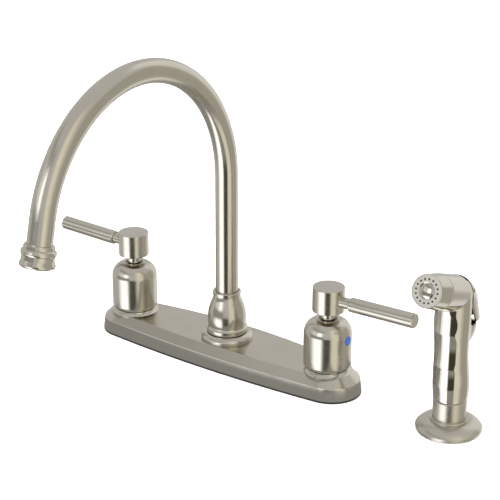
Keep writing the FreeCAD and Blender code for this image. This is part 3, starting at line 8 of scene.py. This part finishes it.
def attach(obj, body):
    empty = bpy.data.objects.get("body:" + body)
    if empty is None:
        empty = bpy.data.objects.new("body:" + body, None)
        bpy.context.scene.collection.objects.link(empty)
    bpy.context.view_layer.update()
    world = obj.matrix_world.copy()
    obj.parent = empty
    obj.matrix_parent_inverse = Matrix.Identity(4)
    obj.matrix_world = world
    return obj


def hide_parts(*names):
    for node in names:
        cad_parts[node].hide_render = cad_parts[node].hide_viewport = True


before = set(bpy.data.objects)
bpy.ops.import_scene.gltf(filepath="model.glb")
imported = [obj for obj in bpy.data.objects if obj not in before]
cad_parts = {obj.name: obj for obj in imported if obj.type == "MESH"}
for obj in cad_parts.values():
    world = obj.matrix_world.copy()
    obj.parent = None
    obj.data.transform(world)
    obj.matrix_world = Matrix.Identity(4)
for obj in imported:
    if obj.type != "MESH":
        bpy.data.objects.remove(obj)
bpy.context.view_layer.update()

MM = 0.001

# How far to the side of the spout's axis the handles and the side spray stand.
HANDLE_X = 101.6 * MM
SPRAY_X = 215.0 * MM

# ---------------------------------------------------------------- camera

CAMERA_PLACE = (0.71167, -0.93653, 0.56215)
CAMERA_AZIMUTH = math.radians(36.294)
CAMERA_ELEVATION = math.radians(21.542)
CAMERA_ROLL = math.radians(0.162)
CAMERA_LENS = 109.86
CAMERA_SENSOR = 36


def make_camera():
    """The photograph's viewpoint: in front of the cold side, looking a little down."""
    data = bpy.data.cameras.new("camera")
    data.sensor_width = CAMERA_SENSOR
    data.lens = CAMERA_LENS
    camera = bpy.data.objects.new("camera", data)
    bpy.context.scene.collection.objects.link(camera)
    level = math.cos(CAMERA_ELEVATION)
    back = Vector((
        math.sin(CAMERA_AZIMUTH) * level,
        -math.cos(CAMERA_AZIMUTH) * level,
        math.sin(CAMERA_ELEVATION),
    ))
    right = Vector((math.cos(CAMERA_AZIMUTH), math.sin(CAMERA_AZIMUTH), 0))
    up = back.cross(right)
    rolled_right = right * math.cos(CAMERA_ROLL) + up * math.sin(CAMERA_ROLL)
    rolled_up = back.cross(rolled_right)
    axes = Matrix((rolled_right, rolled_up, back)).transposed()
    camera.matrix_world = Matrix.Translation(CAMERA_PLACE) @ axes.to_4x4()
    bpy.context.scene.camera = camera


# ---------------------------------------------------------------- shader helpers

# The Mix node has a set of sockets for each kind of data, so they go by number.
MIX_SHARE = 0
MIX_FIRST_VALUE = 2
MIX_SECOND_VALUE = 3
MIX_FIRST_COLOR = 6
MIX_SECOND_COLOR = 7
MIX_VALUE_RESULT = 0
MIX_COLOR_RESULT = 2


def node_adder(owner):
    """Clears the owner's node tree, and gives a function that adds one node to it."""
    owner.use_nodes = True
    tree = owner.node_tree
    tree.nodes.clear()

    def add(kind, inputs=None, **settings):
        node = tree.nodes.new("ShaderNode" + kind)
        for key, value in settings.items():
            setattr(node, key, value)
        for key, value in (inputs or {}).items():
            if isinstance(value, bpy.types.NodeSocket):
                tree.links.new(value, node.inputs[key])
            else:
                node.inputs[key].default_value = value
        return node

    return add


def compute(add, operation, *values):
    """The result of one Math node, from sockets or numbers."""
    return add("Math", dict(enumerate(values)), operation=operation).outputs[0]


def remap(add, value, source, target, **settings):
    """A value carried from the source range over to the target range, and held inside it."""
    inputs = dict(enumerate((value, *source, *target)))
    return add("MapRange", inputs, **settings).outputs[0]


def blend_colors(add, share, under, over):
    """Mix two colours, each a socket or three numbers, by a share from 0 to 1."""
    inputs = {MIX_SHARE: share}
    for key, value in ((MIX_FIRST_COLOR, under), (MIX_SECOND_COLOR, over)):
        inputs[key] = value if isinstance(value, bpy.types.NodeSocket) else (*value, 1)
    return add("Mix", inputs, data_type="RGBA").outputs[MIX_COLOR_RESULT]


def shader_material(name, kind, inputs):
    """A material of one shader whose inputs are plain values."""
    material = bpy.data.materials.new(name)
    add = node_adder(material)
    shader = add(kind, inputs)
    add("OutputMaterial", {0: shader.outputs[0]})
    return material


# ---------------------------------------------------------------- studio

# What the metal mirrors is the inside of a room. Below LOW_EDGE degrees of height it has
# LOW_TONE and above it WALL_TONE, and the panels hang in front of that, each over the one before.
LOW_TONE = (0.34, 0.335, 0.31)
WALL_TONE = (0.64, 0.635, 0.625)
LOW_EDGE = -30
LOW_EDGE_BLUR = 14

BAND_TONE = (0.42, 0.415, 0.40)
RIGHT_TONE = (0.50, 0.48, 0.42)
BACK_BOX = (0.92, 0.91, 0.88)
SIDE_BOX = (1.35, 1.38, 1.42)
GREY_SCREEN = (0.34, 0.34, 0.33)
PALE_CARD = (0.93, 0.94, 0.96)
SOFT_BOX = (1.95, 1.98, 2.02)
DARK_SCREEN = (0.07, 0.065, 0.05)
WARM_SCREEN = (1.00, 0.95, 0.81)
WARM_EDGE = (0.72, 0.68, 0.59)

# Each panel's colour, its range round the object and its range of height, in degrees. The range
# round the object starts from the camera's direction and grows to the camera's right. Last comes
# how soft its two upright edges are. Its level edges are all softened by LEVEL_BLUR.
SIDE_BLUR = 3
WIDE_SIDE_BLUR = 5
LEVEL_BLUR = 4
PANELS = (
    (BAND_TONE, (-110, -20), (35, 49), SIDE_BLUR),
    (RIGHT_TONE, (62, 120), (-80, 30), WIDE_SIDE_BLUR),
    (BACK_BOX, (118, 158), (-60, 50), WIDE_SIDE_BLUR),
    (SIDE_BOX, (-82, -60), (-80, -16), SIDE_BLUR),
    (GREY_SCREEN, (-92, -22), (-14, 8), SIDE_BLUR),
    (PALE_CARD, (-84, -54), (8, 32), SIDE_BLUR),
    (SOFT_BOX, (-54, -31), (8, 34), SIDE_BLUR),
    (SOFT_BOX, (-70, -31), (-80, -14), SIDE_BLUR),
    (DARK_SCREEN, (-27, 11), (-33, -9), SIDE_BLUR),
    (WARM_SCREEN, (13, 48), (-70, 60), SIDE_BLUR),
    (WARM_EDGE, (46, 60), (-70, 60), SIDE_BLUR),
)


def make_studio():
    """The surroundings that the metal mirrors, as a function of direction."""
    world = bpy.data.worlds.new("studio")
    bpy.context.scene.world = world
    add = node_adder(world)
    direction = add("TexCoord").outputs["Generated"]
    x, y, z = add("SeparateXYZ", {0: direction}).outputs
    front = compute(add, "MULTIPLY", y, -1.0)
    around = compute(add, "ARCTAN2", x, front)
    height = compute(add, "ARCSINE", z)
    from_camera = compute(add, "SUBTRACT", around, CAMERA_AZIMUTH)
    side = compute(add, "WRAP", from_camera, math.pi, -math.pi)

    def step(value, edge, blur):
        source = (math.radians(edge - blur), math.radians(edge + blur))
        return remap(add, value, source, (0.0, 1.0), interpolation_type="SMOOTHSTEP")

    def window(value, low, high, blur):
        rise = step(value, low, blur)
        fall = step(value, high, blur)
        return compute(add, "SUBTRACT", rise, fall)

    tone = blend_colors(add, step(height, LOW_EDGE, LOW_EDGE_BLUR), LOW_TONE, WALL_TONE)
    for color, sides, heights, side_blur in PANELS:
        across = window(side, *sides, side_blur)
        upright = window(height, *heights, LEVEL_BLUR)
        tone = blend_colors(add, compute(add, "MULTIPLY", across, upright), tone, color)
    background = add("Background", {0: tone, 1: 1.0})
    add("OutputWorld", {0: background.outputs[0]})


FLOOR_TONE = (0.92, 0.92, 0.92)
FLOOR_REACH = 6.0
WALL_GLOW = 1.2
WALL_REACH = 5.8
WALL_HEIGHT = 5.0
WALL_SEGMENTS = 96
APRON_TONE = (0.34, 0.34, 0.33)
APRON_SIDE = 165 * MM
APRON_FRONT = 64 * MM
APRON_DROP = 0.5 * MM
LIGHT_SIDE = 5.0
LIGHT_HEIGHT = 2.6
LIGHT_POWER = 270.0


def stage_object(name, mesh, material):
    """A piece of the studio, which the metal doesn't mirror."""
    thing = bpy.data.objects.new(name, mesh)
    bpy.context.scene.collection.objects.link(thing)
    mesh.materials.append(material)
    thing.visible_glossy = False
    return thing


def level_mesh(name, x, y, z):
    """A level rectangle at height z that reaches x and y to both sides of the spout's axis."""
    mesh = bpy.data.meshes.new(name)
    mesh.from_pydata([(-x, -y, z), (x, -y, z), (x, y, z), (-x, y, z)], [], [(0, 1, 2, 3)])
    return mesh


def round_wall_mesh():
    """An upright wall all the way round, as flat strips."""
    mesh = bpy.data.meshes.new("wall")
    ring = []
    for i in range(WALL_SEGMENTS):
        angle = 2 * math.pi * i / WALL_SEGMENTS
        for z in (0, WALL_HEIGHT):
            ring.append((WALL_REACH * math.cos(angle), WALL_REACH * math.sin(angle), z))
    count = len(ring)
    faces = [(i, (i + 2) % count, (i + 3) % count, i + 1) for i in range(0, count, 2)]
    mesh.from_pydata(ring, [], faces)
    return mesh


def make_floor():
    """A plain pale floor at the deck's level, and a pale round wall behind it."""
    floor_white = shader_material("floor_white", "BsdfDiffuse", {"Color": (*FLOOR_TONE, 1)})
    stage_object("floor", level_mesh("floor", FLOOR_REACH, FLOOR_REACH, 0), floor_white)

    glow = {"Color": (1, 1, 1, 1), "Strength": WALL_GLOW}
    wall_white = shader_material("wall_white", "Emission", glow)
    wall = stage_object("wall", round_wall_mesh(), wall_white)
    wall.visible_diffuse = False
    wall.visible_shadow = False


def make_apron():
    """A grey card round the plate, which only the metal sees: it greys the plate's sides."""
    glow = {"Color": (*APRON_TONE, 1), "Strength": 1.0}
    apron_grey = shader_material("apron_grey", "Emission", glow)
    mesh = level_mesh("apron", APRON_SIDE, APRON_FRONT, -APRON_DROP)
    apron = stage_object("apron", mesh, apron_grey)
    apron.visible_glossy = True
    apron.visible_camera = False
    apron.visible_diffuse = False
    apron.visible_shadow = False


def make_light():
    """A large soft light overhead, which brightens the floor and isn't mirrored."""
    data = bpy.data.lights.new("overhead", "AREA")
    data.shape = "SQUARE"
    data.size = LIGHT_SIDE
    data.energy = LIGHT_POWER
    light = bpy.data.objects.new("overhead", data)
    light.location = (0, 0, LIGHT_HEIGHT)
    light.visible_glossy = False
    light.visible_camera = False
    bpy.context.scene.collection.objects.link(light)


# ---------------------------------------------------------------- materials

NICKEL = (0.62, 0.59, 0.52)
DULL_NICKEL = (0.58, 0.55, 0.48)
BRASS = (0.74, 0.56, 0.27)
DULL_BRASS = (0.55, 0.38, 0.17)

# How fine the grain is along x, y and z: it runs the way whose number is small.
TURNED = (60, 60, 2600)
ALONG_X = (60, 2600, 2600)
ROUND_X = (2600, 60, 60)
EVEN = (900, 900, 900)

GRAIN_DETAIL = 2.0
CLOUD_SCALE = 45.0
CLOUD_DETAIL = 4.0
GLOSS_SOURCE = (0.7, 1.3)
STAIN_SOURCE = (0.42, 0.75)
STAIN_SHARE = (0.0, 0.7)
BRUSHED_STRETCH = 0.55

PEBBLE_SCALE = 2200.0
PEBBLE_DETAIL = 2.0
PEBBLE_SOURCE = (0.3, 0.7)
PEBBLE_SPREAD = 0.05
MOTTLE_SCALE = 120.0
MOTTLE_DETAIL = 3.0
MOTTLE_SOURCE = (0.35, 0.65)

BUMP_STRENGTH = 0.5

# The spout's bend: a straight riser up to ARCH_CENTRE_Z, and an arc from there.
ARCH_RADIUS = 108.4 * MM
ARCH_CENTRE_Y = -ARCH_RADIUS
ARCH_CENTRE_Z = 163.0 * MM


def along_the_spout(add, place):
    """Coordinates for the bent tube: x and y as they are, and the way along the tube for z."""
    x, y, z = add("SeparateXYZ", {0: place}).outputs
    out = compute(add, "SUBTRACT", y, ARCH_CENTRE_Y)
    up = compute(add, "SUBTRACT", z, ARCH_CENTRE_Z)
    angle = compute(add, "ARCTAN2", up, out)
    arc = compute(add, "MULTIPLY", angle, ARCH_RADIUS)
    bent = compute(add, "GREATER_THAN", up, 0.0)
    choice = {MIX_SHARE: bent, MIX_FIRST_VALUE: up, MIX_SECOND_VALUE: arc}
    way = add("Mix", choice, data_type="FLOAT").outputs[MIX_VALUE_RESULT]
    return add("CombineXYZ", {0: x, 1: y, 2: way}).outputs[0]


def metal(name, bright, dull, roughness, grain=EVEN, depth=3e-6, spread=0.03, axis=None,
          follow=None):
    """Brushed or polished metal: fine grain in the bump and gloss, and faint cloudy staining.

    The depth of the grain is in metres. An axis is the one that a piece was brushed round, and
    follow gives the grain other coordinates than the piece's own.
    """
    material = bpy.data.materials.new(name)
    add = node_adder(material)
    place = add("TexCoord").outputs["Object"]
    grain_place = follow(add, place) if follow else place
    stretched = add("Mapping", {"Vector": grain_place, "Scale": grain}).outputs[0]
    line_noise = {"Vector": stretched, "Scale": 1.0, "Detail": GRAIN_DETAIL}
    cloud_noise = {"Vector": place, "Scale": CLOUD_SCALE, "Detail": CLOUD_DETAIL}
    lines = add("TexNoise", line_noise).outputs[0]
    clouds = add("TexNoise", cloud_noise).outputs[0]
    both = compute(add, "ADD", lines, clouds)
    rough = remap(add, both, GLOSS_SOURCE, (roughness - spread, roughness + spread))
    stain = remap(add, clouds, STAIN_SOURCE, STAIN_SHARE)
    relief = {"Height": lines, "Distance": depth, "Strength": BUMP_STRENGTH}
    inputs = {
        "Base Color": blend_colors(add, stain, bright, dull),
        "Metallic": 1.0,
        "Roughness": rough,
        "Normal": add("Bump", relief).outputs[0],
    }
    if axis:
        inputs["Anisotropic"] = BRUSHED_STRETCH
        inputs["Tangent"] = add("Tangent", direction_type="RADIAL", axis=axis).outputs[0]
    shader = add("BsdfPrincipled", inputs)
    add("OutputMaterial", {0: shader.outputs[0]})
    return material


def moulded(name, light, dark, roughness, depth=8e-6):
    """Moulded rubber or plastic: a fine pebble, depth metres high, and slightly uneven colour."""
    material = bpy.data.materials.new(name)
    add = node_adder(material)
    place = add("TexCoord").outputs["Object"]
    pebble_noise = {"Vector": place, "Scale": PEBBLE_SCALE, "Detail": PEBBLE_DETAIL}
    mottle_noise = {"Vector": place, "Scale": MOTTLE_SCALE, "Detail": MOTTLE_DETAIL}
    pebble = add("TexNoise", pebble_noise).outputs[0]
    mottle = add("TexNoise", mottle_noise).outputs[0]
    share = remap(add, mottle, MOTTLE_SOURCE, (0.0, 1.0))
    gloss = (roughness - PEBBLE_SPREAD, roughness + PEBBLE_SPREAD)
    rough = remap(add, pebble, PEBBLE_SOURCE, gloss)
    relief = {"Height": pebble, "Distance": depth, "Strength": BUMP_STRENGTH}
    shader = add("BsdfPrincipled", {
        "Base Color": blend_colors(add, share, light, dark),
        "Roughness": rough,
        "Normal": add("Bump", relief).outputs[0],
    })
    add("OutputMaterial", {0: shader.outputs[0]})
    return material


def dress(names, material):
    """Gives the CAD nodes of these names a material."""
    for name in names.split():
        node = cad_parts[name]
        node.data.materials.clear()
        node.data.materials.append(material)


def new_piece(name, mesh, material, body):
    """A visible piece that rides on a body and has the given material."""
    piece = bpy.data.objects.new(name, mesh)
    bpy.context.scene.collection.objects.link(piece)
    mesh.materials.clear()
    mesh.materials.append(material)
    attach(piece, body)
    return piece


# ---------------------------------------------------------------- threads below the deck

THREAD_PITCH = 1.8 * MM
THREAD_HEIGHT = 0.3 * MM
THREAD_SINK = 0.2 * MM
THREAD_HALF_WIDTH = 0.45 * THREAD_PITCH
THREAD_STEPS = 40

SHANK_RADIUS = 10.45 * MM
OUTLET_RADIUS = 9.5 * MM
GUIDE_RADIUS = 12.6 * MM

# The lowest and highest point of each threaded stretch.
INLET_STRETCH = (-56.5 * MM, -31.3 * MM)
DECK_STRETCH = (-18.5 * MM, -0.5 * MM)
OUTLET_STRETCH = (-29.5 * MM, -0.5 * MM)
GUIDE_STRETCH = (-49.5 * MM, -28.5 * MM)

BRASS_THREADS = (
    ("hot_inlet_thread", -HANDLE_X, SHANK_RADIUS, INLET_STRETCH),
    ("cold_inlet_thread", HANDLE_X, SHANK_RADIUS, INLET_STRETCH),
    ("hot_deck_thread", -HANDLE_X, SHANK_RADIUS, DECK_STRETCH),
    ("cold_deck_thread", HANDLE_X, SHANK_RADIUS, DECK_STRETCH),
    ("outlet_thread", 0.0, OUTLET_RADIUS, OUTLET_STRETCH),
)


def thread_mesh(name, x, radius, stretch):
    """One helical ridge round a shank that stands at x, closed at both ends."""
    mesh = bpy.data.meshes.new(name)
    shape = bmesh.new()
    bottom, top = stretch
    turns = (top - bottom - THREAD_PITCH) / THREAD_PITCH
    profile = (
        (-THREAD_SINK, -THREAD_HALF_WIDTH),
        (THREAD_HEIGHT, 0),
        (-THREAD_SINK, THREAD_HALF_WIDTH),
    )
    before = None
    for i in range(int(turns * THREAD_STEPS) + 1):
        angle = 2 * math.pi * i / THREAD_STEPS
        middle = bottom + THREAD_PITCH * (i / THREAD_STEPS + 0.5)
        corners = []
        for out, rise in profile:
            reach = radius + out
            corners.append(shape.verts.new((
                x + reach * math.cos(angle),
                reach * math.sin(angle),
                middle + rise,
            )))
        if before:
            for a in range(len(profile)):
                b = (a + 1) % len(profile)
                shape.faces.new((before[a], corners[a], corners[b], before[b]))
        else:
            shape.faces.new(corners)
        before = corners
    shape.faces.new(reversed(before))
    bmesh.ops.recalc_face_normals(shape, faces=shape.faces)
    shape.to_mesh(mesh)
    shape.free()
    mesh.shade_smooth()
    return mesh


# ---------------------------------------------------------------- spray handset

# The handset's head leaves the elbow along HEAD_AXIS, forward and up. The jets' places are
# measured from the elbow along it, and round it.
ELBOW = Vector((SPRAY_X, -2.5 * MM, 115.2 * MM))
HEAD_TILT = math.radians(20.3)
HEAD_AXIS = Vector((0, -math.cos(HEAD_TILT), math.sin(HEAD_TILT)))
HEAD_UP = Vector((0, math.sin(HEAD_TILT), math.cos(HEAD_TILT)))
HEAD_SIDE = Vector((1, 0, 0))

JET_COUNT = 16
JET_CIRCLE = 8.87 * MM
JET_OUTER = 0.8 * MM
JET_BORE = 0.3 * MM
JET_START = 42.8 * MM
JET_END = 45.3 * MM
JET_SEGMENTS = 16


def round_the_head(share):
    """The direction square to the head's axis at this share of a full turn round it."""
    angle = 2 * math.pi * share
    return HEAD_SIDE * math.cos(angle) + HEAD_UP * math.sin(angle)


def jet_mesh():
    """A short rubber tube in each of the spray face's holes."""
    mesh = bpy.data.meshes.new("spray_jets")
    shape = bmesh.new()
    section = (
        (JET_BORE, JET_START),
        (JET_OUTER, JET_START),
        (JET_OUTER, JET_END),
        (JET_BORE, JET_END),
    )
    for jet in range(JET_COUNT):
        centre = round_the_head(jet / JET_COUNT) * JET_CIRCLE
        loops = []
        for radius, height in section:
            middle = ELBOW + HEAD_AXIS * height + centre
            loop = []
            for i in range(JET_SEGMENTS):
                loop.append(shape.verts.new(middle + round_the_head(i / JET_SEGMENTS) * radius))
            loops.append(loop)
        for first, second in zip(loops, loops[1:] + loops[:1]):
            for i in range(JET_SEGMENTS):
                j = (i + 1) % JET_SEGMENTS
                shape.faces.new((first[i], first[j], second[j], second[i]))
    bmesh.ops.recalc_face_normals(shape, faces=shape.faces)
    shape.to_mesh(mesh)
    shape.free()
    return mesh


MERGE_DISTANCE = 0.001 * MM
VOXEL = 0.5 * MM
SMOOTHING_FACTOR = 0.5
SMOOTHING_PASSES = 14


def merged_mesh(node_name, name):
    """A copy of a CAD node's mesh whose faces share their corners, with no normals of its own."""
    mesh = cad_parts[node_name].data.copy()
    mesh.name = name
    shape = bmesh.new()
    shape.from_mesh(mesh)
    bmesh.ops.remove_doubles(shape, verts=shape.verts, dist=MERGE_DISTANCE)
    shape.to_mesh(mesh)
    shape.free()
    if mesh.has_custom_normals:
        mesh.normals_split_custom_set_from_vertices([(0, 0, 0)] * len(mesh.vertices))
    return mesh


def softened_mesh(node_name, piece_name):
    """A CAD node's shape with its inner corners blended and its edges eased, as moulded."""
    form = bpy.data.objects.new(piece_name + "_form", merged_mesh(node_name, piece_name))
    bpy.context.scene.collection.objects.link(form)
    remesh = form.modifiers.new("remesh", "REMESH")
    remesh.mode = "VOXEL"
    remesh.voxel_size = VOXEL
    remesh.use_smooth_shade = True
    smooth = form.modifiers.new("smooth", "SMOOTH")
    smooth.factor = SMOOTHING_FACTOR
    smooth.iterations = SMOOTHING_PASSES
    depsgraph = bpy.context.evaluated_depsgraph_get()
    mesh = bpy.data.meshes.new_from_object(form.evaluated_get(depsgraph))
    mesh.name = piece_name
    bpy.data.objects.remove(form)
    return mesh


# ---------------------------------------------------------------- the scene

bpy.context.scene.view_settings.view_transform = "Standard"
make_camera()
make_studio()
make_floor()
make_apron()
make_light()

turned_satin = metal("turned_satin_nickel", NICKEL, DULL_NICKEL, roughness=0.20, grain=TURNED,
                     axis="Z")
tube_satin = metal("tube_satin_nickel", NICKEL, DULL_NICKEL, roughness=0.19, grain=TURNED,
                   follow=along_the_spout)
plate_satin = metal("plate_satin_nickel", NICKEL, DULL_NICKEL, roughness=0.22, grain=ALONG_X)
lever_satin = metal("lever_satin_nickel", NICKEL, DULL_NICKEL, roughness=0.20, grain=ROUND_X,
                    axis="X")
guide_satin = metal("guide_satin_nickel", NICKEL, DULL_NICKEL, roughness=0.28, grain=TURNED,
                    depth=1.5e-6, axis="Z")
polished = metal("polished_nickel", NICKEL, DULL_NICKEL, roughness=0.14, depth=5e-7, spread=0.02)
mirror = metal("mirror_nickel", NICKEL, DULL_NICKEL, roughness=0.06, depth=3e-7, spread=0.012)
brass = metal("turned_brass", BRASS, DULL_BRASS, roughness=0.30, grain=TURNED, depth=6e-6)
rubber = moulded("black_rubber", light=(0.018, 0.018, 0.018), dark=(0.03, 0.03, 0.029),
                 roughness=0.6)
white_plastic = moulded("white_plastic", light=(0.80, 0.80, 0.77), dark=(0.74, 0.74, 0.70),
                        roughness=0.38)
blue = moulded("blue_plastic", light=(0.03, 0.10, 0.42), dark=(0.025, 0.08, 0.34),
               roughness=0.22, depth=2e-6)
red = moulded("red_plastic", light=(0.45, 0.02, 0.02), dark=(0.36, 0.015, 0.015),
              roughness=0.22, depth=2e-6)

# Every node starts in brass. The hidden ones keep it, and the others are dressed after that.
for node_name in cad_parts:
    dress(node_name, brass)
dress("hot_handle_bell cold_handle_bell hot_handle_head cold_handle_head hot_handle_post "
      "cold_handle_post spout_hub spout_flange", turned_satin)
dress("spray_flange spray_guide", guide_satin)
dress("spout_tube", tube_satin)
dress("deck_plate", plate_satin)
dress("hot_lever_grip cold_lever_grip", lever_satin)
dress("hot_escutcheon_ring cold_escutcheon_ring nozzle_collar aerator_housing", polished)
dress("nozzle_ring spray_face thumb_lever", mirror)
dress("deck_gasket spray_gasket hub_seal nozzle_seal", rubber)
dress("spray_lock_nut", white_plastic)
dress("cold_index_button", blue)
dress("hot_index_button", red)

for thread_name, thread_x, thread_radius, thread_stretch in BRASS_THREADS:
    thread = thread_mesh(thread_name, thread_x, thread_radius, thread_stretch)
    new_piece(thread_name, thread, brass, "root")
guide_thread = thread_mesh("guide_thread", SPRAY_X, GUIDE_RADIUS, GUIDE_STRETCH)
new_piece("guide_thread", guide_thread, turned_satin, "root")

new_piece("spray_jets", jet_mesh(), rubber, "handset")
handset_mesh = softened_mesh("handset_body", "handset_shell")
handset = new_piece("handset_shell", handset_mesh, mirror, "handset")
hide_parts("handset_body")
